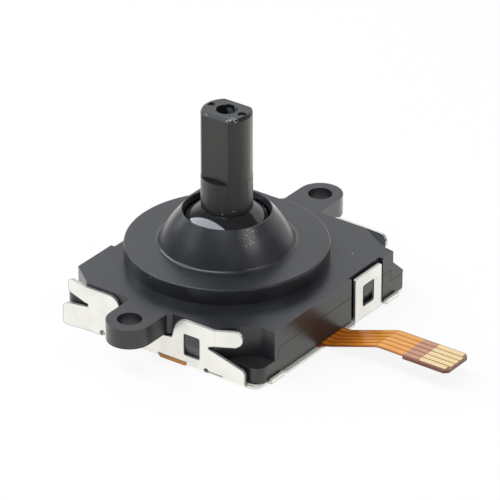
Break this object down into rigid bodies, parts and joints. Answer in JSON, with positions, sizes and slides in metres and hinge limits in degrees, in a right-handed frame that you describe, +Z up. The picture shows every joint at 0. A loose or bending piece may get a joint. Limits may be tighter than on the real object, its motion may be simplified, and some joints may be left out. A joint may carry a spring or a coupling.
{
  "type": "controller analog stick",
  "caption": "Compact two-axis analog stick with a press switch: flatted shaft in a domed collar, clipped sheet-metal base, lugs and a short flex tail.",
  "frame": {"origin": "on the stick axis, at the underside of the sheet-metal base", "axes": "+Z up along the shaft, +X towards the flex tail, the two fixing lugs lie on the Y axis"},
  "size_m": [0.0295, 0.0282, 0.0165],
  "materials": {
    "housing": "fine satin moulded black plastic",
    "lever_plastic": "black plastic, glossy on the dome, satin on the shaft",
    "sheet_metal": "bright plated steel sheet with raw cut edges",
    "film": "amber polyimide film, glossy",
    "copper": "copper lines under the cover film",
    "gold": "pale gold flash",
    "stiffener": "reddish brown polyimide plate",
    "carbon": "printed carbon",
    "spring_steel": "bright spring steel",
    "white_plastic": "natural acetal"
  },
  "bodies": {
    "root": {"upper_case": "housing", "lower_case": "housing", "base_frame": "sheet_metal", "flex_circuit": "film", "flex_traces": "copper", "contact_pads": "gold", "flex_stiffener": "stiffener", "carbon_tracks": "carbon", "switch_pads": "gold", "snap_dome": "spring_steel", "return_spring": "spring_steel"},
    "rocker_x": {"rocker_x": "white_plastic"},
    "pin": {"pivot_pin": "spring_steel"},
    "lever": {"lever": "lever_plastic", "spring_cap": "white_plastic"},
    "rocker_y": {"rocker_y": "white_plastic"},
    "slider_x": {"slider_x": "white_plastic", "wiper_x": "gold"},
    "slider_y": {"slider_y": "white_plastic", "wiper_y": "gold"},
    "plunger": {"switch_plunger": "white_plastic"}
  },
  "joints": [
    {"name": "tilt_x", "type": "hinge", "parent": "root", "child": "rocker_x", "pos_m": [0, 0, 0.0042], "axis": [1, 0, 0], "range_deg": [-12.5, 12.5], "stiffness_Nm_per_rad": 0.045},
    {"name": "tilt_y", "type": "hinge", "parent": "rocker_x", "child": "pin", "pos_m": [0, 0, 0.0042], "axis": [0, 1, 0], "range_deg": [-12.5, 12.5], "stiffness_Nm_per_rad": 0.045},
    {"name": "press", "type": "slide", "parent": "pin", "child": "lever", "axis": [0, 0, -1], "range_m": [0, 0.0003], "stiffness_N_per_m": 8000, "deforming": ["return_spring"]},
    {"name": "rocker_y_turn", "type": "hinge", "parent": "root", "child": "rocker_y", "pos_m": [0, 0, 0.0042], "axis": [0, 1, 0], "range_deg": [-12.6, 12.6]},
    {"name": "slide_y", "type": "slide", "parent": "root", "child": "slider_y", "axis": [0, 1, 0], "range_m": [-0.00058, 0.00058]},
    {"name": "slide_x", "type": "slide", "parent": "root", "child": "slider_x", "axis": [1, 0, 0], "range_m": [-0.00058, 0.00058]},
    {"name": "plunger_travel", "type": "slide", "parent": "root", "child": "plunger", "axis": [0, 0, -1], "range_m": [0, 0.0003], "deforming": ["snap_dome"]}
  ],
  "couplings": [
    {"joint": "rocker_y_turn", "follows": "tilt_y", "ratio": 1},
    {"joint": "slide_y", "follows": "tilt_x", "m_per_rad": 0.0026},
    {"joint": "slide_x", "follows": "tilt_y", "m_per_rad": -0.0026},
    {"joint": "plunger_travel", "follows": "press", "ratio": 1}
  ]
}
